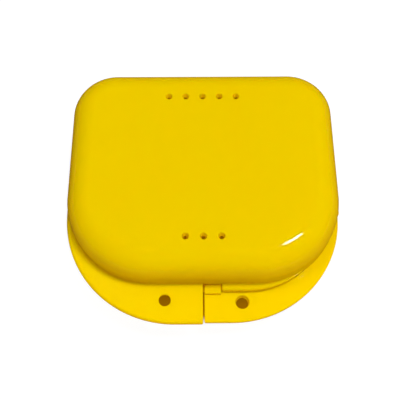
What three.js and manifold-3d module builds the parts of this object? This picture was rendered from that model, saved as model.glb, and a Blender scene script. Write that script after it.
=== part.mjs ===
// A denture case: two moulded halves, hinged at the back, with a split thumb flange at the front.
// One half lies open side up and is the base. The lid is the same moulding turned over, but for its flange,
// which reaches a little further forward.
// Lengths are in millimetres. +X is to the right, +Y to the back and +Z up. The origin lies on the ground,
// under the middle of the closed case, with its flange and its hinge.
import * as THREE from "three";
import { mergeVertices } from "three/addons/utils/BufferGeometryUtils.js";
import Module from "manifold-3d";

const wasm = await Module();
wasm.setup();

// The bowl of one half
const bodyWidth = 77;
const bodyDepth = 64;
const halfHeight = 12.5;
const frontCornerRadius = 24;
const backCornerRadius = 13;
const edgeRadius = 7;
const wall = 1.6;
const partingGap = 0.3;

// The lip along the mouth of the bowl
const lipThickness = 1.85;
const sideLipReach = 0.65;
const sideLipEnd = 11.5;
const backLipReach = 0.7;
const lipBackCornerRadius = 14;
const frontLipReach = 1.9;
const frontLipSetIn = 2.3;
const frontLipCornerRadius = 24;

// The thumb flange, one half of it on each moulding
const baseTabReach = 10.2;
const lidTabReach = 10.95;
const tabCornerRadius = 31.4;
const tabSplit = 0.4;
const tabHoleOffset = 10.65;
const tabHoleReach = 4.6;
const tabHoleOuterRadius = 1.6;
const tabHoleInnerRadius = 1.9;

// The locking block on the flange, and the recess for it in the other half
const blockWidth = 4.5;
const blockReach = 2.5;
const blockRise = 1.15;
const blockClearance = 0.3;
const recessDepth = 0.5;

// The locating rim inside the mouth
const rimThickness = 0.8;
const rimRise = 1.5;
const rimRoot = 2.4;
const rimClearance = 0.25;
const rimEndGap = 1;

// The vents in the flat face, which narrow inwards
const ventOuterRadius = 0.95;
const ventInnerRadius = 0.45;
const ventPitch = 4.9;
const ventRowInset = 10.1;
const backVentCount = 5;
const frontVentCount = 3;

// The snap hinge: a bar between two ears on one side of the back, a hook on the other side
const hingeOffset = 17;
const barRadius = 1.1;
const knuckleRadius = 2.1;
const hookWidth = 7;
const earWidth = 2.2;
const hookBore = 1.35;
const hookMouth = 1.7;
const hingeSideGap = 0.4;
const hingeWallGap = 0.3;
const hingeWebDrop = 6.2;

// How finely curves are cut, and how far a cut or a joint runs into or past what it meets
const cornerSteps = 5;
const edgeSteps = 5;
const ventSides = 12;
const holeSides = 20;
const knuckleSides = 24;
const overrun = 1;

// Places worked out from the sizes
const frontWall = -bodyDepth / 2;
const backWall = bodyDepth / 2;
const mouth = -partingGap / 2;
const lipUnderside = mouth - lipThickness;
const lipHalfWidth = bodyWidth / 2 + sideLipReach;
const hingeY = backWall + hingeWallGap + knuckleRadius;
const caseFront = frontWall - Math.max(baseTabReach, lidTabReach);
const caseBack = hingeY + knuckleRadius;
const farOut = bodyWidth + bodyDepth;

// A closed mesh as a solid that can be joined and cut.
function solid(geometry) {
  const plain = geometry.clone();
  plain.deleteAttribute("normal");
  plain.deleteAttribute("uv");
  const merged = mergeVertices(plain);
  return new wasm.Manifold(
    new wasm.Mesh({
      numProp: 3,
      vertProperties: merged.getAttribute("position").array,
      triVerts: new Uint32Array(merged.index.array),
    }),
  );
}

// A solid as a geometry that can be drawn.
function geometryOf(manifold) {
  const mesh = manifold.getMesh();
  const indexed = new THREE.BufferGeometry();
  indexed.setAttribute("position", new THREE.BufferAttribute(mesh.vertProperties, mesh.numProp));
  indexed.setIndex(new THREE.BufferAttribute(mesh.triVerts, 1));
  const faceted = indexed.toNonIndexed();
  faceted.computeVertexNormals();
  return faceted;
}

// A box between two corners, given as [x, y, z].
function block(low, high) {
  const size = high.map((value, axis) => value - low[axis]);
  const middle = high.map((value, axis) => (value + low[axis]) / 2);
  return solid(new THREE.BoxGeometry(...size).translate(...middle));
}

// A plan with straight sides and four round corners.
function plan(halfWidth, front, back, frontRadius, backRadius) {
  const shape = new THREE.Shape();
  shape.moveTo(frontRadius - halfWidth, front);
  shape.lineTo(halfWidth - frontRadius, front);
  shape.absarc(halfWidth - frontRadius, front + frontRadius, frontRadius, -Math.PI / 2, 0, false);
  shape.absarc(halfWidth - backRadius, back - backRadius, backRadius, 0, Math.PI / 2, false);
  shape.absarc(backRadius - halfWidth, back - backRadius, backRadius, Math.PI / 2, Math.PI, false);
  shape.absarc(frontRadius - halfWidth, front + frontRadius, frontRadius, Math.PI, 1.5 * Math.PI, false);
  return shape;
}

// The bowl's plan, drawn in by an inset from its outside.
function bowlPlan(inset) {
  return plan(
    bodyWidth / 2 - inset,
    frontWall + inset,
    backWall - inset,
    frontCornerRadius - inset,
    backCornerRadius - inset,
  );
}

// A flat plate of a plan between two heights.
function plate(shape, bottom, top) {
  const geometry = new THREE.ExtrudeGeometry(shape, {
    depth: top - bottom,
    bevelEnabled: false,
    curveSegments: cornerSteps,
  });
  return solid(geometry.translate(0, 0, bottom));
}

// A pan of a plan that stands on a flat face with a rounded edge and reaches above the mouth.
function pan(shape, bottom, radius) {
  const geometry = new THREE.ExtrudeGeometry(shape, {
    depth: halfHeight,
    bevelEnabled: true,
    bevelThickness: radius,
    bevelSize: radius,
    bevelOffset: -radius,
    bevelSegments: edgeSteps,
    curveSegments: cornerSteps,
  });
  return solid(geometry.translate(0, 0, bottom + radius));
}

// An upright round bar, or a taper if its two radii differ.
function upright(x, y, bottom, top, bottomRadius, topRadius, sides) {
  const geometry = new THREE.CylinderGeometry(topRadius, bottomRadius, top - bottom, sides);
  geometry.rotateX(Math.PI / 2);
  return solid(geometry.translate(x, y, (bottom + top) / 2));
}

// A round bar along X on the hinge axis.
function hingeBar(from, to, radius) {
  const geometry = new THREE.CylinderGeometry(radius, radius, to - from, knuckleSides);
  geometry.rotateZ(Math.PI / 2);
  return solid(geometry.translate((from + to) / 2, hingeY, 0));
}

// All that lies below the mouth of the half.
function belowMouth() {
  return block([-farOut, -farOut, -farOut], [farOut, farOut, mouth]);
}

// The hollow that holds the denture.
function hollow() {
  const innerEdge = Math.max(edgeRadius - wall, wall / 2);
  return pan(bowlPlan(wall), wall - halfHeight, innerEdge);
}

// The lips and the half flange: one plate that is full width on the right and cut back on the left.
function flange(tabReach) {
  const cornerRadius = Math.min(tabCornerRadius, lipHalfWidth - tabSplit / 2);
  const outline = plan(
    lipHalfWidth,
    frontWall - tabReach,
    backWall + backLipReach,
    cornerRadius,
    lipBackCornerRadius,
  );
  const leftFront = block([-farOut, -farOut, -farOut], [tabSplit / 2, -sideLipEnd, farOut]);
  const tabAndLip = plate(outline, lipUnderside, mouth).subtract(leftFront);
  const frontLipPlan = plan(
    bodyWidth / 2 - frontLipSetIn,
    frontWall - frontLipReach,
    backWall - wall / 2,
    frontLipCornerRadius,
    backCornerRadius,
  );
  const lipStart = -(tabSplit / 2 + blockWidth + blockClearance);
  const leftOfBlock = block([-farOut, -farOut, -farOut], [lipStart, farOut, farOut]);
  const frontLip = plate(frontLipPlan, lipUnderside, mouth).intersect(leftOfBlock);
  return tabAndLip.add(frontLip);
}

// The tapered hole through the half flange.
function tabHole() {
  const taperPerMm = (tabHoleInnerRadius - tabHoleOuterRadius) / lipThickness;
  return upright(
    tabHoleOffset,
    frontWall - tabHoleReach,
    lipUnderside - overrun,
    mouth + overrun,
    tabHoleOuterRadius - taperPerMm * overrun,
    tabHoleInnerRadius + taperPerMm * overrun,
    holeSides,
  );
}

// The locking block that stands on the half flange, beside the split.
function lockingBlock() {
  const left = tabSplit / 2;
  const back = frontWall + recessDepth - blockClearance;
  return block([left, frontWall - blockReach, lipUnderside], [left + blockWidth, back, mouth + blockRise]);
}

// The recess in the wall that takes the back of the other half's locking block.
function blockRecess() {
  const right = blockClearance - tabSplit / 2;
  const left = -(tabSplit / 2 + blockWidth + blockClearance);
  const bottom = -(mouth + blockRise + blockClearance);
  return block([left, frontWall - overrun, bottom], [right, frontWall + recessDepth, overrun]);
}

// The locating rim: it stands inside the right side of the mouth and reaches into the other half.
function locatingRim() {
  const inner = wall + rimClearance + rimThickness;
  const clear = wall + rimClearance;
  const rightSide = block([rimEndGap, -farOut, -farOut], [farOut, farOut, farOut]);
  const core = plate(bowlPlan(inner), mouth - rimRoot - overrun, rimRise + overrun);
  const root = plate(bowlPlan(wall / 2), mouth - rimRoot, mouth);
  const tongue = plate(bowlPlan(clear), mouth - rimRoot, rimRise);
  return root.add(tongue).subtract(core).intersect(rightSide);
}

// One row of tapered vents through the flat face.
function ventRow(count, y) {
  const taperPerMm = (ventOuterRadius - ventInnerRadius) / wall;
  const vents = [];
  for (let i = 0; i < count; i++) {
    const x = (i - (count - 1) / 2) * ventPitch;
    vents.push(
      upright(
        x,
        y,
        -halfHeight - overrun,
        wall - halfHeight + overrun,
        ventOuterRadius + taperPerMm * overrun,
        ventInnerRadius - taperPerMm * overrun,
        ventSides,
      ),
    );
  }
  return vents;
}

// The side profile that carries a knuckle: its round end on the hinge axis, its web down the back wall.
function knuckle(from, to) {
  const profile = new THREE.Shape();
  const root = backWall - wall / 2;
  profile.moveTo(root, mouth - hingeWebDrop);
  profile.lineTo(backWall, mouth - hingeWebDrop);
  profile.lineTo(hingeY + knuckleRadius, 0);
  profile.lineTo(hingeY - knuckleRadius, 0);
  profile.lineTo(backWall, mouth);
  profile.lineTo(root, mouth);
  const geometry = new THREE.ExtrudeGeometry(profile, { depth: to - from, bevelEnabled: false });
  geometry.rotateX(Math.PI / 2);
  geometry.rotateZ(Math.PI / 2);
  return solid(geometry.translate(from, 0, 0)).add(hingeBar(from, to, knuckleRadius));
}

// The width that one hinge takes along the back.
const hingeHalfWidth = hookWidth / 2 + hingeSideGap + earWidth;

// Two ears with the bar between them.
function hingeEars() {
  const inner = hookWidth / 2 + hingeSideGap;
  const leftEar = knuckle(hingeOffset - hingeHalfWidth, hingeOffset - inner);
  const rightEar = knuckle(hingeOffset + inner, hingeOffset + hingeHalfWidth);
  const bar = hingeBar(hingeOffset - inner - earWidth / 2, hingeOffset + inner + earWidth / 2, barRadius);
  return leftEar.add(rightEar).add(bar);
}

// The hook that snaps over the other half's bar, with its mouth upwards.
function hingeHook() {
  const from = -hingeOffset - hookWidth / 2;
  const to = -hingeOffset + hookWidth / 2;
  const bore = hingeBar(from - overrun, to + overrun, hookBore);
  const slot = block(
    [from - overrun, hingeY - hookMouth / 2, 0],
    [to + overrun, hingeY + hookMouth / 2, knuckleRadius + overrun],
  );
  return knuckle(from, to).subtract(bore).subtract(slot);
}

// The room that the two hinges need in the lip along the back.
function hingeRoom() {
  const reach = hingeHalfWidth + hingeSideGap;
  const rooms = [-hingeOffset, hingeOffset].map((x) =>
    block([x - reach, backWall, -farOut], [x + reach, farOut, farOut]),
  );
  return rooms[0].add(rooms[1]);
}

// One moulding with its mouth upwards. The parting plane is z = 0 and the middle of the bowl is the origin.
function moulding(tabReach) {
  const bowl = pan(bowlPlan(0), -halfHeight, edgeRadius).intersect(belowMouth());
  const lips = flange(tabReach).subtract(hingeRoom());
  const shell = bowl.add(lips).add(lockingBlock()).subtract(blockRecess()).subtract(hollow());
  const hinged = shell.add(hingeEars()).add(hingeHook()).add(locatingRim());
  const backVents = ventRow(backVentCount, backWall - ventRowInset);
  const frontVents = ventRow(frontVentCount, frontWall + ventRowInset);
  return [...backVents, ...frontVents, tabHole()].reduce((whole, cut) => whole.subtract(cut), hinged);
}

// The glossy yellow plastic of both halves.
function yellowPlastic() {
  return new THREE.MeshStandardMaterial({ color: 0xeec400, roughness: 0.28, metalness: 0 });
}

// A half as a named mesh, open side up.
function half(name, tabReach) {
  const mesh = new THREE.Mesh(geometryOf(moulding(tabReach)), yellowPlastic());
  mesh.name = name;
  return mesh;
}

// The closed case: the base stands still, and the lid turns about the hinge axis.
function dentureCase() {
  const root = new THREE.Group();
  root.position.set(0, -(caseFront + caseBack) / 2, halfHeight);
  root.add(half("base_shell", baseTabReach));
  const hinge = new THREE.Group();
  hinge.position.y = hingeY;
  const lid = half("lid_shell", lidTabReach);
  lid.position.y = -hingeY;
  lid.rotation.y = Math.PI;
  hinge.add(lid);
  root.add(hinge);
  const whole = new THREE.Group();
  whole.add(root);
  return whole;
}

const model = dentureCase();

export default model;
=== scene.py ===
"""The looks of the denture case: two glossy yellow mouldings on a white table.

Shapes are worked out in millimetres in the frame of one half that lies open side up, with the
parting plane at z = 0 and the middle of the bowl at the origin. A half is then turned and put in
its place, and written in metres. +X is to the right, +Y to the hinge and +Z up.
"""
import logging
import math
from dataclasses import dataclass
from enum import Enum

import bpy
import numpy as np
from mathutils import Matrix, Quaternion, Vector


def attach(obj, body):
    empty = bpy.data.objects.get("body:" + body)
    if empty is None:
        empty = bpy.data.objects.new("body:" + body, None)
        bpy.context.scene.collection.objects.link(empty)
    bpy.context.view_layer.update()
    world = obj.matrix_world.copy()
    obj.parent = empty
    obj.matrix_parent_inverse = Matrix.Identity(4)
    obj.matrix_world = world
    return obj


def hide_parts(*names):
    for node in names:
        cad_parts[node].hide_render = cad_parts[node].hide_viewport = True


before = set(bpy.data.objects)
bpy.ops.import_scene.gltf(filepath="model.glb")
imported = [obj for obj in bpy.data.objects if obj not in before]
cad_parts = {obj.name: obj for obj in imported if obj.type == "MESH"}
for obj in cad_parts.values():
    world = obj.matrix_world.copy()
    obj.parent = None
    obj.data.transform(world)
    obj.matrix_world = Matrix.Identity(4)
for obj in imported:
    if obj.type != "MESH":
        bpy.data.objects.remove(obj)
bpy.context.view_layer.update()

log = logging.getLogger("denture_case")

MILLIMETRE = 0.001
LONGEST_REACH = 40.0
HALVINGS = 36
ROUNDING = 1e-6


class Half(Enum):
    """The two halves of the case."""

    BASE = "base"
    LID = "lid"


class Cut(Enum):
    """What a solid does to the moulding that it meets."""

    ADD = "UNION"
    TAKE = "DIFFERENCE"


@dataclass
class Skin:
    """A closed surface: its points in millimetres and its faces."""

    points: np.ndarray
    quads: np.ndarray
    tris: np.ndarray

    def volume(self) -> float:
        """The volume that the surface holds, below zero if it is inside out."""
        fans = np.vstack([self.quads[:, [0, 1, 2]], self.quads[:, [0, 2, 3]], self.tris])
        a, b, c = (self.points[fans[:, i]] for i in range(3))
        return float(np.einsum("ij,ij->i", a, np.cross(b, c)).sum() / 6.0)

    def outward(self) -> "Skin":
        """The same surface with every face pointing out.

        Returns:
            The surface itself, or a copy with every face turned over.
        """
        if self.volume() >= 0.0:
            return self
        return Skin(self.points, self.quads[:, ::-1], self.tris[:, ::-1])

    def mesh(self, name: str) -> bpy.types.Object:
        """Puts the surface into a mesh object.

        Args:
            name: the object's name.

        Returns:
            The new object, with its points in metres.
        """
        data = bpy.data.meshes.new(name)
        faces = self.quads.tolist() + self.tris.tolist()
        data.from_pydata((self.points * MILLIMETRE).tolist(), [], faces)
        data.update()
        piece = bpy.data.objects.new(name, data)
        bpy.context.scene.collection.objects.link(piece)
        return piece


def joined(skins: list[Skin]) -> Skin:
    """Several closed surfaces as one list of points and faces.

    Args:
        skins: the surfaces.

    Returns:
        All of them together, not cut against each other.
    """
    starts = np.cumsum([0] + [len(skin.points) for skin in skins])
    return Skin(
        np.vstack([skin.points for skin in skins]),
        np.vstack([skin.quads + start for skin, start in zip(skins, starts)]),
        np.vstack([skin.tris + start for skin, start in zip(skins, starts)]),
    )


def wrapped(rings: np.ndarray) -> Skin:
    """A closed surface through a row of closed rings.

    Point j of ring i is joined to point j + 1 of the ring and to point j of ring i + 1. The first and
    the last ring are closed by a fan to their middle.

    Args:
        rings: points, as rings by points round the ring by 3.

    Returns:
        The closed surface, faces outward.
    """
    rows, round_points, _ = rings.shape
    index = np.arange(rows * round_points).reshape(rows, round_points)
    ahead = np.roll(index, -1, axis=1)
    quads = np.stack([index[:-1], ahead[:-1], ahead[1:], index[1:]], axis=-1).reshape(-1, 4)
    middles = rings[[0, -1]].mean(axis=1)
    first = np.full(round_points, rows * round_points)
    fan_first = np.stack([first, ahead[0], index[0]], axis=-1)
    fan_last = np.stack([first + 1, index[-1], ahead[-1]], axis=-1)
    points = np.vstack([rings.reshape(-1, 3), middles])
    return Skin(points, quads, np.vstack([fan_first, fan_last])).outward()


def bite(distance: np.ndarray, radius: np.ndarray | float) -> np.ndarray:
    """How far a rounded edge falls back at a distance from its end.

    For a quarter circle of radius r it is r - sqrt(2 r d - d d), and nothing past the radius.

    Args:
        distance: distances d from the end.
        radius: the radius r of the edge.

    Returns:
        The fall back at each distance.
    """
    inner = np.clip(distance, 0.0, radius)
    return radius - np.sqrt(np.maximum(2.0 * radius * inner - inner * inner, 0.0))


def rounded_outline(corners: np.ndarray, radii: np.ndarray, steps: int) -> tuple[np.ndarray, np.ndarray]:
    """A closed outline with its corners rounded.

    At each corner of turn t the arc of radius r starts r tan(t / 2) before the corner. Its points are
    the arc's centre plus the outward direction, turned in even steps through t, times r.

    Args:
        corners: the corners in counter-clockwise order, n by 2.
        radii: the radius of each corner.
        steps: steps along each arc.

    Returns:
        The outline's points and the outward direction at each.
    """
    towards = np.roll(corners, -1, axis=0) - corners
    towards /= np.linalg.norm(towards, axis=1, keepdims=True)
    arriving = np.roll(towards, 1, axis=0)
    cross = arriving[:, 0] * towards[:, 1] - arriving[:, 1] * towards[:, 0]
    turn = np.arctan2(cross, (arriving * towards).sum(axis=1))
    side = np.sign(turn)
    lead = radii * np.tan(np.abs(turn) / 2.0)
    outward = np.stack([arriving[:, 1], -arriving[:, 0]], axis=1)
    centre = corners - arriving * lead[:, None] - outward * (side * radii)[:, None]
    angle = turn[:, None] * np.linspace(0.0, 1.0, steps + 1)[None, :]
    way_x = outward[:, :1] * np.cos(angle) - outward[:, 1:] * np.sin(angle)
    way_y = outward[:, :1] * np.sin(angle) + outward[:, 1:] * np.cos(angle)
    way = np.stack([way_x, way_y], axis=-1)
    points = centre[:, None, :] + way * (side * radii)[:, None, None]
    return points.reshape(-1, 2), way.reshape(-1, 2)


def swept(
    foot: np.ndarray, way: np.ndarray, section: np.ndarray, lean: np.ndarray, inset: np.ndarray
) -> Skin:
    """A closed bar: a section carried along a path on the plan.

    At each station the section's point (o, z) goes to foot + way * o at height z, after it has been
    drawn in along the section's own outward direction by the inset.

    Args:
        foot: the path's points on the plan, n by 2.
        way: the outward direction at each, n by 2.
        section: the section's points as outward distance and height, m by 2.
        lean: the section's outward directions, m by 2.
        inset: how far the section is drawn in at each station.

    Returns:
        The closed bar.
    """
    drawn = section[None, :, :] - lean[None, :, :] * inset[:, None, None]
    plan = foot[:, None, :] + way[:, None, :] * drawn[..., :1]
    return wrapped(np.concatenate([plan, drawn[..., 1:]], axis=-1))


def turned(radius: np.ndarray, height: np.ndarray, centre: tuple[float, float], sides: int) -> Skin:
    """A round body: radii at heights, turned about an upright line.

    Args:
        radius: the radius at each height.
        height: the heights.
        centre: where the line stands on the plan.
        sides: points round the body.

    Returns:
        The closed body.
    """
    angle = np.linspace(0.0, 2.0 * np.pi, sides, endpoint=False)
    x = centre[0] + radius[:, None] * np.cos(angle)[None, :]
    y = centre[1] + radius[:, None] * np.sin(angle)[None, :]
    z = np.broadcast_to(height[:, None], x.shape)
    return wrapped(np.stack([x, y, z], axis=-1))


def round_end(length: float, radius: float, steps: int) -> tuple[np.ndarray, np.ndarray]:
    """Stations along a bar with rounded ends, and how far its section is drawn in at each.

    Args:
        length: the bar's length.
        radius: the radius of its end edges.
        steps: steps over each end edge.

    Returns:
        The distances along the bar and the inset at each.
    """
    lead = radius * (1.0 - np.cos(np.linspace(0.0, np.pi / 2.0, steps + 1)))
    along = np.concatenate([lead, length - lead[::-1]])
    return along, bite(np.minimum(along, length - along), radius)


def worked(base: bpy.types.Object, tool: bpy.types.Object, cut: Cut) -> None:
    """Adds a solid to a piece or takes it away, and removes the solid's object.

    Args:
        base: the piece that is changed.
        tool: the solid.
        cut: whether it is added or taken.
    """
    step = base.modifiers.new("work", "BOOLEAN")
    step.operation = cut.value
    step.solver = "EXACT"
    step.object = tool
    bpy.context.view_layer.update()
    seen = base.evaluated_get(bpy.context.evaluated_depsgraph_get())
    made = bpy.data.meshes.new_from_object(seen)
    base.modifiers.clear()
    former = base.data
    base.data = made
    bpy.data.meshes.remove(former)
    bpy.data.objects.remove(tool)


@dataclass(frozen=True)
class RoundedPlan:
    """A plan with straight sides and round corners, alike on the left and the right."""

    half_width: float
    front: float
    back: float
    front_radius: float
    back_radius: float

    def holds(self, spot: np.ndarray) -> np.ndarray:
        """Whether spots lie inside: within the sides, and within the circle at each corner.

        Args:
            spot: points on the plan, n by 2.

        Returns:
            True for each point inside.
        """
        across = np.abs(spot[:, 0])
        inside = (across <= self.half_width) & (spot[:, 1] >= self.front) & (spot[:, 1] <= self.back)
        front_x = np.maximum(across - self.half_width + self.front_radius, 0.0)
        front_y = np.maximum(self.front + self.front_radius - spot[:, 1], 0.0)
        back_x = np.maximum(across - self.half_width + self.back_radius, 0.0)
        back_y = np.maximum(spot[:, 1] - self.back + self.back_radius, 0.0)
        near_front = np.hypot(front_x, front_y) <= self.front_radius
        near_back = np.hypot(back_x, back_y) <= self.back_radius
        return inside & near_front & near_back

    def reach(self, foot: np.ndarray, way: np.ndarray) -> np.ndarray:
        """How far the plan reaches from points along directions, by halving the interval.

        Args:
            foot: points, n by 2.
            way: directions, n by 2.

        Returns:
            The distance for each point, 0 where the point lies outside.
        """
        near = np.zeros(len(foot))
        far = np.full(len(foot), LONGEST_REACH)
        for _ in range(HALVINGS):
            middle = (near + far) / 2.0
            held = self.holds(foot + way * middle[:, None])
            near = np.where(held, middle, near)
            far = np.where(held, far, middle)
        return near


@dataclass(frozen=True)
class BowlLine:
    """The line that the bowl's wall follows on the plan, measured from the middle of the front."""

    half_width: float = 38.5
    half_depth: float = 32.0
    front_radius: float = 24.0
    back_radius: float = 13.0

    def stretches(self) -> tuple[float, float, float, float, float]:
        """The lengths of the front straight, front arc, side, back arc and back straight of one side."""
        return (
            self.half_width - self.front_radius,
            self.front_radius * math.pi / 2.0,
            2.0 * self.half_depth - self.front_radius - self.back_radius,
            self.back_radius * math.pi / 2.0,
            self.half_width - self.back_radius,
        )

    def half_girth(self) -> float:
        """Half the way round."""
        return sum(self.stretches())

    def at(self, run: np.ndarray) -> tuple[np.ndarray, np.ndarray]:
        """Points of the line and the outward directions there.

        The run's length is shared out over the five stretches in turn. Straights move the point on,
        and arcs of radius r turn it through a: r sin a on the way in and r (1 - cos a) across.

        Args:
            run: the way round from the middle of the front, positive to the right.

        Returns:
            The points and the directions, n by 2 each.
        """
        whole = self.half_girth()
        wrapped_run = (run + whole) % (2.0 * whole) - whole
        side = np.where(wrapped_run < 0.0, -1.0, 1.0)
        front, front_arc, flank, back_arc, back = self.stretches()
        left = np.abs(wrapped_run)
        part = np.clip(left, 0.0, front)
        turn_front = np.clip(left - front, 0.0, front_arc) / self.front_radius
        along_flank = np.clip(left - front - front_arc, 0.0, flank)
        turn_back = np.clip(left - front - front_arc - flank, 0.0, back_arc) / self.back_radius
        along_back = np.clip(left - front - front_arc - flank - back_arc, 0.0, back)
        x = part + self.front_radius * np.sin(turn_front)
        x = x - self.back_radius * (1.0 - np.cos(turn_back)) - along_back
        y = -self.half_depth + self.front_radius * (1.0 - np.cos(turn_front))
        y = y + along_flank + self.back_radius * np.sin(turn_back)
        turn = turn_front + turn_back
        foot = np.stack([side * x, y], axis=1)
        way = np.stack([side * np.sin(turn), -np.cos(turn)], axis=1)
        return foot, way


@dataclass(frozen=True)
class LipSpan:
    """A stretch of lip along the mouth, between two runs of the bowl's line."""

    start: float
    end: float
    plan: RoundedPlan
    start_round: float
    end_round: float
    least_round: float = 0.4
    outside: float = 0.01

    def stations(self) -> np.ndarray:
        """Runs close together over the rounded ends, with one just outside each end.

        Returns:
            The runs, in no order.
        """
        swing = 1.0 - np.cos(np.linspace(0.0, np.pi / 2.0, 9))
        return np.concatenate([
            self.start + max(self.start_round, self.least_round) * swing,
            self.end - max(self.end_round, self.least_round) * swing,
            [self.start - self.outside, self.end + self.outside],
        ])


@dataclass(frozen=True)
class BowlShell:
    """The bowl of one half with its lips and its half of the thumb flange, as one surface."""

    line: BowlLine = BowlLine()
    half_height: float = 12.5
    edge_radius: float = 7.0
    wall: float = 1.6
    mouth: float = -0.15
    lip_thickness: float = 1.85
    tab_plan: RoundedPlan = RoundedPlan(39.15, -42.2, 32.7, 31.4, 14.0)
    lip_plan: RoundedPlan = RoundedPlan(36.2, -33.9, 31.2, 24.0, 13.0)
    tab_start: float = 0.2
    lip_start: float = 5.0
    side_lip_end: float = 48.69
    lip_gap: float = 1.0
    tab_round: float = 0.4
    room_round: float = 0.3
    lip_round: float = 0.5
    least_reach: float = 0.02
    room_near: float = 10.5
    room_far: float = 23.5
    end_edge: float = 0.4
    outer_edge: float = 0.8
    mouth_edge: float = 0.3
    foot_fillet: float = 0.6
    recess_depth: float = 0.5
    recess_foot: float = -1.3
    recess_step: float = 0.01
    recess_end: tuple[float, float, float] = (0.1, 0.11, 0.17)
    recess_bevel: float = 0.1
    inner_edge: float = 0.25
    blend_width: float = 0.25
    edge_share: float = 0.42
    crisp_share: float = 0.5
    fillet_share: float = 0.35
    even_stations: int = 286
    station_gap: float = 0.2

    def spans(self) -> list[LipSpan]:
        """The stretches of lip, with the hinges' rooms left out.

        Returns:
            The flange with the right side, the back, the left side and the front lip on the left.
        """
        girth = self.line.half_girth()
        flank_end = 2.0 * girth - self.side_lip_end
        lip_end = 2.0 * girth - self.lip_start
        wide = self.tab_plan
        room = self.room_round
        return [
            LipSpan(self.tab_start, girth - self.room_far, wide, self.tab_round, room),
            LipSpan(girth - self.room_near, girth + self.room_near, wide, room, room),
            LipSpan(girth + self.room_far, flank_end, wide, room, self.lip_round),
            LipSpan(flank_end + self.lip_gap, lip_end, self.lip_plan, 0.0, self.lip_round),
        ]

    def stations(self) -> np.ndarray:
        """The runs at which the profile stands, in order and each once round the bowl.

        Returns:
            Even runs, with those at the lips' ends and the recess in place of any that lie close.
        """
        girth = self.line.half_girth()
        marks = [span.stations() for span in self.spans()]
        marks.append(np.array([-self.lip_start + self.recess_step, *self.recess_end]))
        special = np.unique(np.round((np.concatenate(marks) + girth) % (2.0 * girth) - girth, 4))
        even = np.linspace(-girth, girth, self.even_stations, endpoint=False)
        clear = np.abs(even[:, None] - special[None, :]).min(axis=1) > self.station_gap
        return np.sort(np.concatenate([special, even[clear]]))

    def lip(self, run: np.ndarray) -> tuple[np.ndarray, np.ndarray, np.ndarray]:
        """The lip's reach at each run, and how far its outer and its mouth face stand back at its ends.

        Args:
            run: the runs.

        Returns:
            The reach, the lift of the outer face and the drop of the mouth face.
        """
        foot, way = self.line.at(run)
        turn = 2.0 * self.line.half_girth()
        reach = np.zeros(len(run))
        lift = np.zeros(len(run))
        drop = np.zeros(len(run))
        for span in self.spans():
            along = (run - span.start) % turn
            left = span.end - span.start - along
            inside = left >= -ROUNDING
            near = np.minimum(along, np.maximum(left, 0.0))
            whole = span.plan.reach(foot, way)
            cut_back = bite(along, span.start_round) + bite(np.maximum(left, 0.0), span.end_round)
            reach = np.where(inside, np.maximum(whole - cut_back, 0.0), reach)
            lift = np.where(inside, bite(near, self.end_edge), lift)
            drop = np.where(inside, bite(near, self.mouth_edge), drop)
        return np.where(reach < self.least_reach, 0.0, reach), lift, drop

    def recess(self, run: np.ndarray) -> np.ndarray:
        """How deep the recess for the other half's block is, with a small bevel on its right.

        Args:
            run: the runs.

        Returns:
            The depth at each run.
        """
        left = -self.lip_start
        marks = [left, left + self.recess_step, *self.recess_end]
        return np.interp(run, marks, [0.0, self.recess_depth, self.recess_depth, self.recess_bevel, 0.0])

    def profile(self, run: np.ndarray) -> tuple[np.ndarray, np.ndarray]:
        """The profile's outward distances and heights at each run.

        From the flat face it goes round the lower edge, up the wall, over the fillet and the lip's
        outer face, round the lip's edges, back over the mouth and down the inner wall. Where there is
        no lip, the lip's rows lie spread up the wall.

        Args:
            run: the runs, n of them.

        Returns:
            Distances and heights, n by rows each.
        """
        width, lift, drop = (column[:, None] for column in self.lip(run))
        recess = self.recess(run)[:, None]
        share = np.clip(width / self.blend_width, 0.0, 1.0)
        share = share * share * (3.0 - 2.0 * share)
        ones = np.ones_like(width)
        under = self.mouth - self.lip_thickness
        low = under + lift
        high = self.mouth - drop
        edge = np.clip(self.edge_share * width, 0.0, self.outer_edge)
        crisp = np.minimum(self.mouth_edge, self.crisp_share * width)
        fillet = np.clip(self.fillet_share * width, 0.0, self.foot_fillet)

        # The lower edge: a quarter circle up to the wall.
        bend = np.linspace(0.0, np.pi / 2.0, 18)[None, :]
        radius = self.edge_radius
        bend_o = ones * (radius * np.sin(bend) - radius)
        bend_z = ones * (radius - self.half_height - radius * np.cos(bend))

        # The wall up to the fillet, plain or stepped back at the recess.
        root = share * (low - fillet) + (1.0 - share) * under
        step = np.arange(1, 10)[None, :] / 9.0
        foot_z = radius - self.half_height
        wall_z = foot_z + (root - foot_z) * step
        recess_o = np.array([[0.0, 0.0, 0.0, -0.088, -0.3, -0.98, -1.0, -1.0, -1.0]])
        recess_rise = np.array([[-3.0, -1.2, -0.15, -0.044, 0.0, 0.0, 0.01, 0.06, 0.12]])
        recess_z = self.recess_foot + recess_rise
        cut = recess / self.recess_depth
        wall_o = recess_o * recess
        wall_z = wall_z + (recess_z - wall_z) * cut

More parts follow.
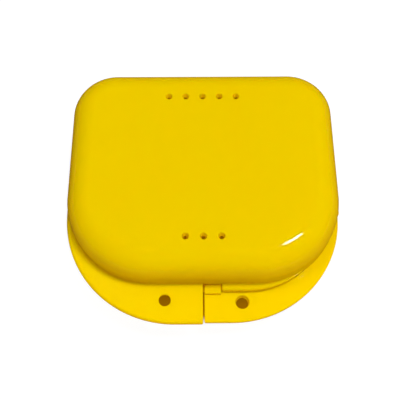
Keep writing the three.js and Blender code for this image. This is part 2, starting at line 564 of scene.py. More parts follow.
        # The lip: fillet, outer face, outer edge, rim, mouth edge and mouth face.
        turn = np.linspace(0.0, np.pi / 2.0, 6)[None, 1:]
        runs = np.array([[0.05, 0.5, 0.95]])
        sweep = np.linspace(0.0, np.pi / 2.0, 9)[None, :]
        tight = np.linspace(0.0, np.pi / 2.0, 6)[None, :]
        homeward = np.array([[0.05, 0.5, 0.95, 1.0]])
        upright = (low + edge + high - crisp) / 2.0
        lip_o = np.hstack([
            fillet * (1.0 - np.cos(turn)),
            fillet + (width - edge - fillet) * runs,
            width - edge + edge * np.sin(sweep),
            width,
            width - crisp + crisp * np.cos(tight),
            (width - crisp) * (1.0 - homeward),
        ])
        lip_z = np.hstack([
            low - fillet * (1.0 - np.sin(turn)),
            low * np.ones_like(runs),
            low + edge * (1.0 - np.cos(sweep)),
            upright,
            high - crisp + crisp * np.sin(tight),
            high + (self.mouth - high) * homeward,
        ])
        rise = np.arange(1, lip_o.shape[1] + 1)[None, :] / lip_o.shape[1]
        bare_o = -recess * np.ones_like(rise)
        bare_foot = under + (recess_z[0, -1] - under) * cut
        bare_z = bare_foot + (self.mouth - self.mouth_edge - bare_foot) * rise
        lip_o = share * lip_o + (1.0 - share) * bare_o
        lip_z = share * lip_z + (1.0 - share) * bare_z

        # The wall's top edge where it is bare, flat where the lip runs on.
        part = np.linspace(0.0, 1.0, 6)[None, 1:]
        round_o = -recess - self.mouth_edge * (1.0 - np.cos(part * np.pi / 2.0))
        round_z = self.mouth - self.mouth_edge * (1.0 - np.sin(part * np.pi / 2.0)) * ones
        top_o = share * (-self.mouth_edge * part) + (1.0 - share) * round_o
        top_z = share * self.mouth + (1.0 - share) * round_z

        # The inner edge, the inner wall and the inner quarter circle.
        inner = self.inner_edge
        lead = np.linspace(0.0, np.pi / 2.0, 5)[None, :]
        inner_o = np.hstack([[[-0.95]], -self.wall + inner - inner * np.sin(lead)]) * ones
        inner_z = np.hstack([[[self.mouth]], self.mouth - inner + inner * np.cos(lead)]) * ones
        inner_radius = radius - self.wall
        down = np.array([[0.03, 0.25, 0.6, 0.97]])
        top = self.mouth - inner
        down_o = -self.wall * np.ones_like(down) * ones
        down_z = (top + (foot_z - top) * down) * ones
        fold = np.linspace(0.0, np.pi / 2.0, 15)[None, :]
        fold_o = (-radius + inner_radius * np.cos(fold)) * ones
        fold_z = (foot_z - inner_radius * np.sin(fold)) * ones
        distance = np.hstack([bend_o, wall_o, lip_o, top_o, inner_o, down_o, fold_o])
        height = np.hstack([bend_z, wall_z, lip_z, top_z, inner_z, down_z, fold_z])
        return distance, height

    def skin(self) -> Skin:
        """The whole shell: the profile carried round the bowl, with both flat faces drawn to the middle.

        Returns:
            The closed surface.
        """
        run = self.stations()
        foot, way = self.line.at(run)
        distance, height = self.profile(run)
        plan = foot[:, None, :] + way[:, None, :] * distance[..., None]
        band = np.concatenate([plan, height[..., None]], axis=-1).transpose(1, 0, 2)
        outer = np.array([0.2, 0.4, 0.6, 0.8, 0.93, 0.996])
        flat = np.array([1.0, 1.0, 0.0])
        level = np.array([0.0, 0.0, 1.0])
        below = band[:1] * (outer[:, None, None] * flat + level)
        above = band[-1:] * (outer[::-1, None, None] * flat + level)
        return wrapped(np.concatenate([below, band, above]))


@dataclass(frozen=True)
class LockingBlock:
    """The block that stands on the half flange beside its split and fills the other half's recess."""

    corners: tuple[tuple[float, float], ...] = ((0.2, -34.5), (4.85, -34.5), (4.85, -31.8), (0.2, -31.8))
    radii: tuple[float, ...] = (0.35, 0.3, 0.3, 1.1)
    root: float = -1.2
    top: float = 1.0
    edge: float = 0.28

    def skin(self) -> Skin:
        """The block: its plan's outline at rising heights, drawn in over the top edge as a quarter circle.

        Returns:
            The closed block.
        """
        outline, way = rounded_outline(np.array(self.corners), np.array(self.radii), 7)
        turn = np.linspace(0.0, np.pi / 2.0, 6)
        inset = np.concatenate([[0.0], self.edge * (1.0 - np.cos(turn))])
        height = np.concatenate([[self.root], self.top - self.edge + self.edge * np.sin(turn)])
        ring = outline[None, :, :] - way[None, :, :] * inset[:, None, None]
        level = np.broadcast_to(height[:, None, None], ring[..., :1].shape)
        return wrapped(np.concatenate([ring, level], axis=-1))


@dataclass(frozen=True)
class LocatingRim:
    """The rim inside the right side of the mouth, which reaches into the other half."""

    line: BowlLine = BowlLine()
    end_gap: float = 1.0
    end_edge: float = 0.25
    even_start: float = 1.0
    even_stations: int = 120
    corners: tuple[tuple[float, float], ...] = (
        (-1.85, 1.5), (-2.65, 1.5), (-2.65, -1.5), (-1.5, -2.55), (-1.0, -2.0), (-1.0, -0.17), (-1.85, -0.17),
    )
    radii: tuple[float, ...] = (0.3, 0.3, 0.5, 0.3, 0.3, 0.3, 0.15)

    def skin(self) -> Skin:
        """The rim: its section carried along the bowl's line, with rounded ends.

        Returns:
            The closed rim.
        """
        section, lean = rounded_outline(np.array(self.corners), np.array(self.radii), 5)
        length = self.line.half_girth() - 2.0 * self.end_gap
        ends, _ = round_end(length, self.end_edge, 5)
        even = np.linspace(self.even_start, length - self.even_start, self.even_stations)
        along = np.union1d(ends, even)
        inset = bite(np.minimum(along, length - along), self.end_edge)
        foot, way = self.line.at(along + self.end_gap)
        return swept(foot, way, section, lean, inset)


@dataclass(frozen=True)
class SnapHinge:
    """The hinge's parts on one half: two ears with a bar on the right and a hook on the left."""

    offset: float = 17.0
    axis: float = 34.4
    bar_radius: float = 1.1
    knuckle_radius: float = 2.1
    hook_width: float = 7.0
    ear_width: float = 2.2
    bore: float = 1.35
    slot: float = 0.85
    side_gap: float = 0.4
    edge: float = 0.25
    web_root: float = 31.2
    web_back: float = 32.0
    web_foot: float = -6.35
    back_foot: float = -0.25
    front_foot: float = -0.4
    slot_foot: float = -0.1
    slot_flare: tuple[float, float] = (0.4, 1.6)
    slot_top: float = 2.6
    circle_sides: int = 36
    bar_edge: float = 0.2
    slot_edge: float = 0.02
    overshoot: float = 1.0

    def prism(self, low: float, high: float, section: np.ndarray, lean: np.ndarray, edge: float) -> Skin:
        """A section in the plane across the hinge, carried along the hinge from right to left.

        Args:
            low: where it ends on the left.
            high: where it starts on the right.
            section: its points as Y and Z.
            lean: the outward directions there.
            edge: the radius of its end edges.

        Returns:
            The closed prism.
        """
        along, inset = round_end(high - low, edge, 4)
        foot = np.stack([high - along, np.zeros_like(along)], axis=1)
        way = np.broadcast_to(np.array([0.0, 1.0]), foot.shape)
        return swept(foot, way, section, lean, inset)

    def knuckle(self, low: float, high: float) -> Skin:
        """A knuckle: a round end on the hinge line with a web down the back wall.

        Args:
            low: where it ends on the left.
            high: where it starts on the right.

        Returns:
            The closed knuckle.
        """
        back = self.axis + self.knuckle_radius
        front = self.axis - self.knuckle_radius
        top = self.knuckle_radius
        foot = self.web_foot
        root = self.web_root
        corners = [
            (root, foot), (self.web_back, foot), (back, self.back_foot), (back, top), (front, top),
            (front, self.front_foot), (root, self.front_foot),
        ]
        radii = [0.3, 0.3, 0.8, 2.05, 2.05, 0.15, 0.3]
        section, lean = rounded_outline(np.array(corners), np.array(radii), 9)
        return self.prism(low, high, section, lean, self.edge)

    def circle(self, radius: float) -> tuple[np.ndarray, np.ndarray]:
        """A circle about the hinge line, as points and outward directions.

        Args:
            radius: its radius.

        Returns:
            The points and the directions.
        """
        angle = np.linspace(0.0, 2.0 * np.pi, self.circle_sides, endpoint=False)
        way = np.stack([np.cos(angle), np.sin(angle)], axis=1)
        return way * radius + np.array([self.axis, 0.0]), way

    def ears(self) -> bpy.types.Object:
        """The two ears with the bar between them.

        Returns:
            One closed solid.
        """
        inner = self.hook_width / 2.0 + self.side_gap
        outer = inner + self.ear_width
        pair = joined([
            self.knuckle(self.offset - outer, self.offset - inner),
            self.knuckle(self.offset + inner, self.offset + outer),
        ]).mesh("hinge_ears")
        reach = inner + self.ear_width / 2.0
        section = self.circle(self.bar_radius)
        bar = self.prism(self.offset - reach, self.offset + reach, *section, self.bar_edge)
        worked(pair, bar.mesh("hinge_bar"), Cut.ADD)
        return pair

    def hook(self) -> bpy.types.Object:
        """The hook, with its bore and the flared slot that lets the other half's bar snap in.

        Returns:
            One closed solid.
        """
        low = -self.offset - self.hook_width / 2.0
        high = -self.offset + self.hook_width / 2.0
        body = self.knuckle(low, high).mesh("hinge_hook")
        left = self.axis - self.slot
        right = self.axis + self.slot
        foot = self.slot_foot
        top = self.slot_top
        out, flare_foot = self.slot_flare
        corners = [
            (left, foot), (right, foot), (right, flare_foot), (right + out, top), (left - out, top),
            (left, flare_foot),
        ]
        radii = [0.05, 0.05, 0.3, 0.05, 0.05, 0.3]
        mouth, lean = rounded_outline(np.array(corners), np.array(radii), 4)
        far = (low - self.overshoot, high + self.overshoot)
        bore = self.prism(*far, *self.circle(self.bore), self.bar_edge)
        worked(body, bore.mesh("hook_bore"), Cut.TAKE)
        worked(body, self.prism(*far, mouth, lean, self.slot_edge).mesh("hook_slot"), Cut.TAKE)
        return body


@dataclass(frozen=True)
class Openings:
    """The vents in the flat face and the hole in the half flange, as the solids that cut them."""

    vent_outer: float = 0.95
    vent_inner: float = 0.45
    vent_pitch: float = 4.9
    vent_rows: tuple[tuple[int, float], ...] = ((5, 21.9), (3, -21.9))
    hole_place: tuple[float, float] = (10.65, -36.6)
    hole_outer: float = 1.6
    hole_inner: float = 1.9
    half_height: float = 12.5
    wall: float = 1.6
    flare: float = 0.22
    flare_end: float = 78.0
    overshoot: float = 1.0
    overflare: float = 1.2
    sides: int = 40

    def flared(self, place: tuple[float, float], low: float, high: float, start: float, end: float) -> Skin:
        """A round cutter between two faces, flared at both so that the edges it leaves are round.

        Over each edge the radius grows by f (1 - cos a) at the distance f (1 - sin a) from the face,
        with a stopped twelve degrees short of a quarter turn. Past the face it goes on as a cone.

        Args:
            place: where its line stands.
            low: the lower face.
            high: the upper face.
            start: the radius at the lower face.
            end: the radius at the upper face.

        Returns:
            The closed cutter.
        """
        turn = np.radians(np.linspace(0.0, self.flare_end, 7))
        swell = self.flare * (1.0 - np.cos(turn))
        rise = self.flare * (1.0 - np.sin(turn))
        past = [swell[-1] + self.overflare]
        height = np.concatenate([
            [low - self.overshoot], (low + rise)[::-1], high - rise, [high + self.overshoot],
        ])
        radius = start + (end - start) * np.clip((height - low) / (high - low), 0.0, 1.0)
        radius = radius + np.concatenate([past, swell[::-1], swell, past])
        return turned(radius, height, place, self.sides)

    def skin(self, mouth: float, lip_thickness: float) -> Skin:
        """All the cutters together.

        Args:
            mouth: the height of the mouth face.
            lip_thickness: the thickness of the flange.

        Returns:
            The closed cutters, which don't touch each other.
        """
        floor = -self.half_height
        cutters = [
            self.flared(((i - (count - 1) / 2.0) * self.vent_pitch, y), floor, floor + self.wall,
                        self.vent_outer, self.vent_inner)
            for count, y in self.vent_rows
            for i in range(count)
        ]
        low = mouth - lip_thickness
        hole = self.flared(self.hole_place, low, mouth, self.hole_outer, self.hole_inner)
        return joined([*cutters, hole])


@dataclass(frozen=True)
class MouldMarks:
    """What the mould leaves on the inner floor: four shallow ejector marks and the gate's small nub."""

    floor: float = -10.9
    mark_radius: float = 2.4
    mark_depth: float = 0.07
    mark_places: tuple[tuple[float, float], ...] = ((-20.0, -9.0), (20.0, -9.0), (-20.0, 13.0), (20.0, 13.0))
    gate_radius: float = 0.9
    gate_rise: float = 0.16
    gate_end: float = 80.0
    gate_root: float = 0.5
    overshoot: float = 1.0
    mark_sides: int = 48
    gate_sides: int = 32

    def marks(self) -> Skin:
        """The cutters for the ejector marks: low cylinders that dip into the floor.

        Returns:
            The closed cutters.
        """
        height = np.array([self.floor - self.mark_depth, self.floor + self.overshoot])
        radius = np.full(2, self.mark_radius)
        return joined([turned(radius, height, place, self.mark_sides) for place in self.mark_places])

    def gate(self) -> Skin:
        """The gate's nub: a low dome, its radius r cos a at the height h sin a.

        Returns:
            The closed dome.
        """
        turn = np.linspace(0.0, np.radians(self.gate_end), 6)
        height = np.concatenate([[self.floor - self.gate_root], self.floor + self.gate_rise * np.sin(turn)])
        radius = np.concatenate([[self.gate_radius], self.gate_radius * np.cos(turn)])
        return turned(radius, height, (0.0, 0.0), self.gate_sides)


@dataclass(frozen=True)
class Moulding:
    """One half of the case, as it comes out of the mould."""

    shell: BowlShell = BowlShell()
    block: LockingBlock = LockingBlock()
    rim: LocatingRim = LocatingRim()
    hinge: SnapHinge = SnapHinge()
    openings: Openings = Openings()
    marks: MouldMarks = MouldMarks()
    crease: float = 38.0
    large_face_weight: int = 80

    def build(self) -> bpy.types.Object:
        """Joins the shell, block, rim and hinge, and cuts the vents, the hole and the marks.

        Returns:
            The moulding with its mouth upwards, in metres.
        """
        body = self.shell.skin().mesh("moulding")
        extras = joined([self.block.skin(), self.rim.skin(), self.marks.gate()]).mesh("moulding_extras")
        worked(extras, self.hinge.ears(), Cut.ADD)
        worked(extras, self.hinge.hook(), Cut.ADD)
        worked(body, extras, Cut.ADD)
        cutters = joined([self.openings.skin(self.shell.mouth, self.shell.lip_thickness), self.marks.marks()])
        worked(body, cutters.mesh("moulding_cutters"), Cut.TAKE)
        return body


def feed(target: bpy.types.NodeSocket, value: object) -> None:
    """Links a socket to an input, or sets the input to a plain value.

    Args:
        target: the input.
        value: an output socket, or what the input is set to.
    """
    if isinstance(value, bpy.types.NodeSocket):
        target.id_data.links.new(value, target)
    else:
        target.default_value = value


def node(
    tree: bpy.types.NodeTree, kind: str, inputs: dict[int | str, object] | None = None, **values: object
) -> bpy.types.Node:
    """Adds a node, sets its properties and feeds its inputs.

    Args:
        tree: the node tree.
        kind: the node's type.
        inputs: sockets or plain values by the input's name or number.
        values: properties by name.

    Returns:
        The node.
    """
    made = tree.nodes.new(kind)
    for name, value in values.items():
        setattr(made, name, value)
    for place, value in (inputs or {}).items():
        feed(made.inputs[place], value)
    return made


def maths(
    tree: bpy.types.NodeTree, operation: str, first: object, second: object = 0.0, clamp: bool = False
) -> bpy.types.NodeSocket:
    """A Math node.

    Args:
        tree: the node tree.
        operation: the node's operation.
        first: a socket or a number.
        second: a socket or a number, left out where the operation takes only one.
        clamp: whether the result is held between 0 and 1.

    Returns:
        The result's socket.
    """
    given = {0: first, 1: second}
    return node(tree, "ShaderNodeMath", given, operation=operation, use_clamp=clamp).outputs[0]


def mixed(
    tree: bpy.types.NodeTree, share: object, first: object, second: object
) -> bpy.types.NodeSocket:
    """A colour between two.

    Args:
        tree: the node tree.
        share: the second one's share, a socket or a number.
        first: a colour or its socket.
        second: a colour or its socket.

    Returns:
        The colour's socket.
    """
    return node(tree, "ShaderNodeMix", {0: share, 6: first, 7: second}, data_type="RGBA").outputs[2]


def away(
    tree: bpy.types.NodeTree, place: bpy.types.Node, middle: tuple[float, float], core: tuple[float, float]
) -> bpy.types.NodeSocket:
    """How far a place on the table is from a flat core: the length of what sticks out of it each way.

    Args:
        tree: the node tree.
        place: the node that splits the place into its parts.
        middle: the core's middle.
        core: half the core's width and depth.

    Returns:
        The distance in metres.
    """
    squares = []
    for way in range(2):
        off = maths(tree, "ABSOLUTE", maths(tree, "SUBTRACT", place.outputs[way], middle[way]))
        past = maths(tree, "MAXIMUM", maths(tree, "SUBTRACT", off, core[way]), 0.0)
        squares.append(maths(tree, "MULTIPLY", past, past))
    return maths(tree, "SQRT", maths(tree, "ADD", *squares))


def between(
    tree: bpy.types.NodeTree,
    value: bpy.types.NodeSocket,
    low: float,
    high: float,
    to_low: object = 0.0,
    to_high: object = 1.0,
) -> bpy.types.NodeSocket:
    """A smooth Map Range node.

    Args:
        tree: the node tree.
        value: what is mapped.
        low: where the range starts.
        high: where it ends.
        to_low: the result at its start, a socket or a number.
        to_high: the result at its end, a socket or a number.

    Returns:
        The result's socket.
    """
    given = {"Value": value, "From Min": low, "From Max": high, "To Min": to_low, "To Max": to_high}
    return node(tree, "ShaderNodeMapRange", given, interpolation_type="SMOOTHSTEP").outputs["Result"]


@dataclass(frozen=True)
class Pattern:
    """A noise on the plastic. With a span, its values go smoothly from 0 to full over the span."""

    scale: float
    octaves: float
    rough: float = 0.5
    turn: float = 0.0
    stretch: tuple[float, float, float] | None = None
    span: tuple[float, float] | None = None
    full: float = 1.0

    def value(self, tree: bpy.types.NodeTree) -> bpy.types.NodeSocket:
        """Adds the pattern's nodes, in the coordinates of the piece, turned about Z and stretched.

        Args:
            tree: the node tree.

        Returns:
            The value's socket.
        """
        where = node(tree, "ShaderNodeTexCoord").outputs["Object"]
        if self.stretch is not None:
            given = {"Vector": where, "Rotation": (0.0, 0.0, self.turn), "Scale": self.stretch}
            where = node(tree, "ShaderNodeMapping", given).outputs["Vector"]
        given = {"Vector": where, "Scale": self.scale, "Detail": self.octaves, "Roughness": self.rough}
        value = node(tree, "ShaderNodeTexNoise", given).outputs["Fac"]
        if self.span is None:
            return value
        return between(tree, value, *self.span, 0.0, self.full)


class SurfaceEffects:
    """Shader node groups for moulded plastic, each made once and used by every plastic finish."""

    RIPPLE = Pattern(150.0, 2.0, 0.45)
    GRAIN = Pattern(2600.0, 2.0)
    CLOUDS = Pattern(38.0, 3.0, span=(0.35, 0.68), full=0.8)
    RAYS = Pattern(1.0, 3.0, turn=0.35, stretch=(260.0, 30.0, 260.0), span=(0.5, 0.75), full=0.5)
    # Painted shade: the span of upright normal over which steep faces go from full shade to none.
    STEEP_SHADE_SPAN = (0.25, 0.95)
    RUBS = Pattern(55.0, 2.0, span=(0.45, 0.7))
    SCRATCHES = (
        Pattern(1.0, 2.0, turn=0.5, stretch=(2400.0, 70.0, 900.0), span=(0.66, 0.74)),
        Pattern(1.0, 2.0, turn=2.1, stretch=(2000.0, 55.0, 900.0), span=(0.68, 0.76)),
    )

    def __init__(self) -> None:
        """Makes the groups."""
        self.skin = self.moulded_skin()
        self.tint = self.flow_tint_and_wall_shade()
        self.marks = self.handling_marks()

    @staticmethod
    def group(
        name: str, inputs: list[tuple[str, str, object]], outputs: list[tuple[str, str]]
    ) -> tuple[bpy.types.NodeTree, bpy.types.Node, bpy.types.Node]:
        """An empty group with its sockets.

        Args:
            name: the group's name.
            inputs: each input's name, type and plain value.
            outputs: each output's name and type.

        Returns:
            The group and its input and output nodes.
        """
        tree = bpy.data.node_groups.new(name, "ShaderNodeTree")
        for label, kind, value in inputs:
            socket = tree.interface.new_socket(label, in_out="INPUT", socket_type=kind)
            socket.default_value = value
        for label, kind in outputs:
            tree.interface.new_socket(label, in_out="OUTPUT", socket_type=kind)
        return tree, node(tree, "NodeGroupInput"), node(tree, "NodeGroupOutput")

    def moulded_skin(self) -> bpy.types.NodeTree:
        """The height of a moulded face: slow ripples of the steel and a fine grain.

        Returns:
            The group, with the output Height.
        """
        tree, given, result = self.group(
            "moulded_skin",
            [("Ripple", "NodeSocketFloat", 0.6), ("Grain", "NodeSocketFloat", 0.2)],
            [("Height", "NodeSocketFloat")],
        )
        ripple = maths(tree, "MULTIPLY", self.RIPPLE.value(tree), given.outputs["Ripple"])
        grain = maths(tree, "MULTIPLY", self.GRAIN.value(tree), given.outputs["Grain"])
        feed(result.inputs["Height"], maths(tree, "ADD", ripple, grain))
        return tree

    def flow_tint_and_wall_shade(self) -> bpy.types.NodeTree:
        """The colour of plastic flowed out from the gate: slow clouds, faint rays, painted shade on steep
        faces.

        Returns:
            The group, with the output Colour.
        """
        tree, given, result = self.group(
            "flow_tint_and_wall_shade",
            [
                ("Plain", "NodeSocketColor", (1.0, 1.0, 1.0, 1.0)),
                ("Deep", "NodeSocketColor", (0.9, 0.9, 0.9, 1.0)),
                ("Amount", "NodeSocketFloat", 0.5),
                ("Wall shade", "NodeSocketFloat", 0.5),
            ],
            [("Colour", "NodeSocketColor")],
        )
        normal = node(tree, "ShaderNodeTexCoord").outputs["Normal"]
        upright = maths(tree, "ABSOLUTE", node(tree, "ShaderNodeSeparateXYZ", {0: normal}).outputs[2])
        # Painted shade: steep faces take the deep colour, for the darker, more orange shade they get from the
        # lamps.
        steep = between(tree, upright, *self.STEEP_SHADE_SPAN, given.outputs["Wall shade"], 0.0)
        flowed = maths(tree, "ADD", self.CLOUDS.value(tree), self.RAYS.value(tree))
        flow = maths(tree, "MULTIPLY", flowed, given.outputs["Amount"])
        mask = maths(tree, "ADD", flow, steep, clamp=True)
        colour = mixed(tree, mask, given.outputs["Plain"], given.outputs["Deep"])
        feed(result.inputs["Colour"], colour)
        return tree

    def handling_marks(self) -> bpy.types.NodeTree:
        """Fine rubs and scratches of a case that lives in a drawer, in two directions.

        Returns:
            The group, with the outputs Rub and Scratch.
        """
        tree, given, result = self.group(
            "handling_marks",
            [("Amount", "NodeSocketFloat", 0.5)],
            [("Rub", "NodeSocketFloat"), ("Scratch", "NodeSocketFloat")],
        )
        patches = self.RUBS.value(tree)
        lines = maths(tree, "ADD", *(scratch.value(tree) for scratch in self.SCRATCHES))
        amount = given.outputs["Amount"]
        feed(result.inputs["Rub"], maths(tree, "MULTIPLY", patches, amount, clamp=True))
        in_patches = maths(tree, "MULTIPLY", lines, patches)
        feed(result.inputs["Scratch"], maths(tree, "MULTIPLY", in_patches, amount, clamp=True))
        return tree


@dataclass(frozen=True)
class GlossPlastic:
    """Glossy moulded plastic that lets a little light through."""

    name: str
    plain: tuple[float, float, float]
    # The deep colour is both the flow clouds' deeper tone and the painted shade on steep faces.
    deep: tuple[float, float, float]
    clouding: float = 0.15
    # The share of painted shade on steep faces.
    wall_shade: float = 0.8
    roughness: float = 0.035
    wear: float = 0.5
    rub: float = 0.05
    scratch: float = 0.18
    ripple: float = 0.6
    grain: float = 0.05
    relief: float = 0.12
    relief_depth: float = 0.0002
    index: float = 1.49
    specular: float = 0.5
    glow: float = 0.12
    glow_reach: tuple[float, float, float] = (1.0, 0.45, 0.02)
    glow_scale: float = 0.0016
    through: float = 0.45

    def material(self, effects: SurfaceEffects) -> bpy.types.Material:
        """Makes the material: a glossy shader, mixed with one for the light that comes through.

        Args:
            effects: the shared node groups.

        Returns:
            The material.
        """
        made = bpy.data.materials.new(self.name)
        made.use_nodes = True
        tree = made.node_tree
        colours = {"Plain": (*self.plain, 1.0), "Deep": (*self.deep, 1.0)}
        # One share is the painted shade on steep faces.
        shares = {"Amount": self.clouding, "Wall shade": self.wall_shade}
        tint = node(tree, "ShaderNodeGroup", colours | shares, node_tree=effects.tint)
        marks = node(tree, "ShaderNodeGroup", {"Amount": self.wear}, node_tree=effects.marks)
        rubbed = maths(tree, "MULTIPLY", marks.outputs["Rub"], self.rub)
        scratched = maths(tree, "MULTIPLY", marks.outputs["Scratch"], self.scratch)
        rough = maths(tree, "ADD", maths(tree, "ADD", rubbed, scratched), self.roughness, clamp=True)
        heights = {"Ripple": self.ripple, "Grain": self.grain}
        skin = node(tree, "ShaderNodeGroup", heights, node_tree=effects.skin)
        uneven = {"Strength": self.relief, "Distance": self.relief_depth, "Height": skin.outputs["Height"]}
        face = {
            "Base Color": tint.outputs["Colour"],
            "Roughness": rough,
            "Normal": node(tree, "ShaderNodeBump", uneven).outputs["Normal"],
            "IOR": self.index,
            "Specular IOR Level": self.specular,
            "Subsurface Weight": self.glow,
            "Subsurface Radius": self.glow_reach,
            "Subsurface Scale": self.glow_scale,
        }
        shader = tree.nodes["Principled BSDF"]
        for name, value in face.items():
            feed(shader.inputs[name], value)
        behind = node(tree, "ShaderNodeBsdfTranslucent", {"Color": tint.outputs["Colour"]})
        parts = {0: self.through, 1: shader.outputs[0], 2: behind.outputs[0]}
        blend = node(tree, "ShaderNodeMixShader", parts)
        feed(tree.nodes["Material Output"].inputs["Surface"], blend.outputs[0])
        return made


@dataclass(frozen=True)
class WhitePaper:
    """White paper that the case lies on. Places and distances are in metres, spans go from 0 to full."""

    white: float = 0.9
    white_to_camera: float = 0.08
    white_to_gloss: float = 0.02
    lift: float = 0.94
    # Painted shade and glow under the case: brown on the paper where the case covers and shades it.
    painted_shade_under_case: tuple[float, float, float] = (0.25, 0.11, 0.0)
    painted_glow_under_case: float = 0.6
    case_middle: tuple[float, float] = (0.0, 0.002)
    case_core: tuple[float, float] = (0.006, 0.003)
    case_edge: tuple[float, float] = (0.0328, 0.0358)
    flange_middle: tuple[float, float] = (0.0, -0.0305)
    flange_core: tuple[float, float] = (0.009, 0.0015)
    flange_edge: tuple[float, float] = (0.0045, 0.009)
    shade_reach: float = 0.02
    shade_span: tuple[float, float] = (0.2, 0.45)
    shade_samples: int = 24
    growing_span: tuple[float, float] = (0.06, 0.5)
    mirrored_span: tuple[float, float] = (0.4, 0.9)

    def clear(self, tree: bpy.types.NodeTree) -> tuple[bpy.types.NodeSocket, bpy.types.NodeSocket]:
        """Where the paper is clear of the case.

        It is painted with shade under the case as far as the case shades it, and all of it under the
        flange, where its holes look down. Past the case's edge it is clear.

        Args:
            tree: the node tree.

        Returns:
            A mask, 0 under the case and 1 off it, and the distance from the case's middle.
        """
        spot = node(tree, "ShaderNodeTexCoord").outputs["Object"]
        split = node(tree, "ShaderNodeSeparateXYZ", {0: spot})
        from_case = away(tree, split, self.case_middle, self.case_core)
        from_flange = away(tree, split, self.flange_middle, self.flange_core)
        reach = {"Distance": self.shade_reach}
        shade = node(tree, "ShaderNodeAmbientOcclusion", reach, samples=self.shade_samples)
        open_above = between(tree, shade.outputs["AO"], *self.shade_span)
        lit = maths(tree, "MULTIPLY", between(tree, from_flange, *self.flange_edge), open_above)
        return maths(tree, "MAXIMUM", lit, between(tree, from_case, *self.case_edge)), from_case

    def material(self) -> bpy.types.Material:
        """Makes the paper, lifted to white for the camera round the case.

        Under the case it is painted with shade and a glow in the colour of light through yellow plastic.

        Returns:
            The material.
        """
        made = bpy.data.materials.new("white_paper")
        made.use_nodes = True
        tree = made.node_tree
        tree.nodes.clear()
        clear, from_case = self.clear(tree)

        # The paper's colour: white for matt faces, dim for the camera and gloss, painted shade under the
        # case.
        path = node(tree, "ShaderNodeLightPath").outputs
        to_matt = maths(tree, "MULTIPLY", path["Is Diffuse Ray"], self.white)
        to_eye = maths(tree, "MULTIPLY", path["Is Camera Ray"], self.white_to_camera)
        white = maths(tree, "ADD", maths(tree, "MAXIMUM", to_matt, to_eye), self.white_to_gloss)
        pale = node(tree, "ShaderNodeCombineColor", {0: white, 1: white, 2: white})
        # Painted shade: under the case the paper takes the brown colour.
        untinted = maths(tree, "MAXIMUM", clear, path["Is Diffuse Ray"])
        tone = mixed(tree, untinted, (*self.painted_shade_under_case, 1.0), pale.outputs[0])
        paper = node(tree, "ShaderNodeBsdfDiffuse", {"Color": tone})

        # The lift to white: for the camera, and far off for gloss and clear faces; a painted glow under the
        # case.
        # Painted glow: under the case the lift is a dim brown.
        deep = (*(tint * self.painted_glow_under_case for tint in self.painted_shade_under_case), 1.0)
        glow = mixed(tree, clear, deep, (self.lift, self.lift, self.lift, 1.0))
        grown = between(tree, from_case, *self.growing_span, 1.0, 1.0 / self.lift)
        to_camera = maths(tree, "MULTIPLY", path["Is Camera Ray"], grown)
        mirrored = maths(tree, "MAXIMUM", path["Is Glossy Ray"], path["Is Transmission Ray"])
        far_off = maths(tree, "MULTIPLY", between(tree, from_case, *self.mirrored_span), mirrored)
        seen = maths(tree, "MAXIMUM", to_camera, far_off)
        lift = node(tree, "ShaderNodeEmission", {"Color": glow, "Strength": seen})
        both = node(tree, "ShaderNodeAddShader", {0: paper.outputs[0], 1: lift.outputs[0]})
        node(tree, "ShaderNodeOutputMaterial", {"Surface": both.outputs[0]})
        return made


@dataclass(frozen=True)
class DentureCase:
    """The closed case: the base as it lies, and the lid turned over about its front-to-back line."""

    base: Moulding = Moulding()
    lid: Moulding = Moulding(BowlShell(tab_plan=RoundedPlan(39.15, -42.95, 32.7, 31.4, 14.0)))
    # The second colour is the flow clouds' deeper tone and the painted shade on steep faces.
    finish: GlossPlastic = GlossPlastic("yellow_plastic", (0.88, 0.68, 0.0), (0.87, 0.60, 0.0))
    shift_y: float = 3.225
    height: float = 12.5

    def half(self, which: Half, dress: bpy.types.Material) -> bpy.types.Object:
        """A half in its place.

        The base keeps x and z. The lid has both with their signs changed, which turns it over.

        Args:
            which: the base or the lid.
            dress: its material.

        Returns:
            The half as a piece.
        """
        moulding = self.lid if which is Half.LID else self.base
        piece = moulding.build()
        data = piece.data
        piece.name = f"{which.value}_moulding"
        data.name = piece.name
        spots = np.empty(len(data.vertices) * 3)
        data.vertices.foreach_get("co", spots)
        spots = spots.reshape(-1, 3)
        if which is Half.LID:
            spots = spots * np.array([-1.0, 1.0, -1.0])
        spots = spots + np.array([0.0, self.shift_y, self.height]) * MILLIMETRE
        data.vertices.foreach_set("co", spots.ravel())
        data.update()
        data.materials.clear()
        data.materials.append(dress)
        data.polygons.foreach_set("use_smooth", np.ones(len(data.polygons), dtype=bool))
        data.set_sharp_from_angle(angle=math.radians(moulding.crease))
        even = piece.modifiers.new("even_shading", "WEIGHTED_NORMAL")
        even.keep_sharp = True
        even.weight = moulding.large_face_weight
        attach(piece, which.value)
        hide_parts(f"{which.value}_shell")
        log.info("%s: %d faces", piece.name, len(data.polygons))
        return piece

    def build(self, effects: SurfaceEffects) -> list[bpy.types.Object]:
        """Builds both halves in one finish.

        Args:
            effects: the shared node groups.

        Returns:
            The base and the lid.
        """
        dress = self.finish.material(effects)
        return [self.half(which, dress) for which in Half]


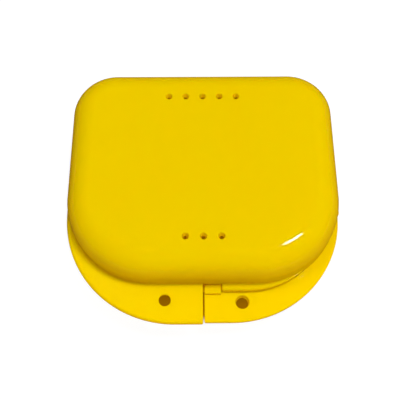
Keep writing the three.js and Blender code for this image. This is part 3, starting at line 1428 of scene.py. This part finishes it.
@dataclass(frozen=True)
class SoftLamp:
    """A soft box that shines at the case, long one way and narrow the other."""

    name: str
    place: tuple[float, float, float]
    long: float
    narrow: float
    power: float
    turn: float = 0.0
    glint_only: bool = False
    aim: tuple[float, float, float] = (0.0, 0.0, 0.012)

    def build(self, lid: bpy.types.Object) -> bpy.types.Object:
        """Hangs the lamp at its place, turned to the case.

        Args:
            lid: the only piece that a lamp for the glint shines on.

        Returns:
            The lamp.
        """
        light = bpy.data.lights.new(self.name, "AREA")
        light.shape = "ELLIPSE"
        light.size = self.long
        light.size_y = self.narrow
        light.energy = self.power
        lamp = bpy.data.objects.new(self.name, light)
        lamp.location = self.place
        lamp.visible_glossy = self.glint_only
        lamp.visible_diffuse = not self.glint_only
        if self.glint_only:
            light.cycles.max_bounces = 1
            lit = bpy.data.collections.new(f"{self.name}_lights")
            lit.objects.link(lid)
            lamp.light_linking.receiver_collection = lit
        facing = (Vector(self.aim) - Vector(self.place)).to_track_quat("-Z", "Y")
        spin = Quaternion((0.0, 0.0, 1.0), math.radians(self.turn))
        lamp.rotation_euler = (facing @ spin).to_euler()
        bpy.context.scene.collection.objects.link(lamp)
        log.info("lamp %s", self.name)
        return lamp


@dataclass(frozen=True)
class Studio:
    """The white table, the soft light and the camera."""

    lamps: tuple[SoftLamp, ...] = (
        SoftLamp("key_lamp", (0.486, 0.14, 1.72), 0.5, 0.5, 29.5),
        SoftLamp("front_lamp", (0.13, -0.44, 0.50), 0.15, 0.15, 1.7),
        SoftLamp("near_lamp", (-0.11, 0.05, 0.42), 0.2, 0.2, 0.54),
        SoftLamp("glint_lamp", (0.246, 0.125, 0.86), 0.15, 0.10, 1.8, 19.0, True),
    )
    paper: WhitePaper = WhitePaper()
    table_side: float = 3.0
    aim: tuple[float, float, float] = (-0.860, -2.642, 12.5)
    elevation: float = 66.0
    yaw: float = 0.29
    distance: float = 197.9
    focal_px: float = 674.0
    image_px: float = 400.0
    sensor_width: float = 36.0
    clip: tuple[float, float] = (0.01, 10.0)

    def table(self) -> bpy.types.Object:
        """The table: a wide plane under the case.

        Returns:
            The plane.
        """
        half = self.table_side / 2.0
        corners = np.array([[-half, -half, 0.0], [half, -half, 0.0], [half, half, 0.0], [-half, half, 0.0]])
        data = bpy.data.meshes.new("table")
        data.from_pydata(corners.tolist(), [], [(0, 1, 2, 3)])
        data.materials.append(self.paper.material())
        plane = bpy.data.objects.new("table", data)
        bpy.context.scene.collection.objects.link(plane)
        return plane

    def world(self) -> None:
        """A white backdrop that only the camera sees, so that it puts no light on the case."""
        sky = bpy.data.worlds.new("sky")
        sky.use_nodes = True
        tree = sky.node_tree
        backdrop = tree.nodes["Background"].inputs
        feed(backdrop["Color"], (1.0, 1.0, 1.0, 1.0))
        feed(backdrop["Strength"], node(tree, "ShaderNodeLightPath").outputs["Is Camera Ray"])
        bpy.context.scene.world = sky

    def camera(self) -> bpy.types.Object:
        """The camera at the photograph's viewing angle.

        It stands back from its aim by the distance, down by the elevation and turned by the yaw. The
        lens is the sensor's width times the focal length in pixels over the image's width.

        Returns:
            The camera.
        """
        lens = bpy.data.cameras.new("camera")
        lens.sensor_width = self.sensor_width
        lens.lens = self.sensor_width * self.focal_px / self.image_px
        lens.clip_start, lens.clip_end = self.clip
        rise = math.radians(self.elevation)
        turn = math.radians(self.yaw)
        back = Vector((-math.sin(turn) * math.cos(rise), -math.cos(turn) * math.cos(rise), math.sin(rise)))
        viewer = bpy.data.objects.new("camera", lens)
        viewer.location = (Vector(self.aim) + back * self.distance) * MILLIMETRE
        viewer.rotation_euler = (-back).to_track_quat("-Z", "Y").to_euler()
        bpy.context.scene.collection.objects.link(viewer)
        bpy.context.scene.camera = viewer
        return viewer

    def build(self, lid: bpy.types.Object) -> None:
        """Sets the camera, the table, the sky and the lamps.

        Args:
            lid: the piece that carries the glint.
        """
        self.camera()
        self.table()
        self.world()
        for lamp in self.lamps:
            lamp.build(lid)
        bpy.context.scene.view_settings.view_transform = "Standard"


def main() -> None:
    """Builds the studio and the case."""
    logging.basicConfig(level=logging.INFO, format="%(name)s: %(message)s")
    base, lid = DentureCase().build(SurfaceEffects())
    log.info("made %s and %s", base.name, lid.name)
    Studio().build(lid)


if __name__ == "__main__":
    main()
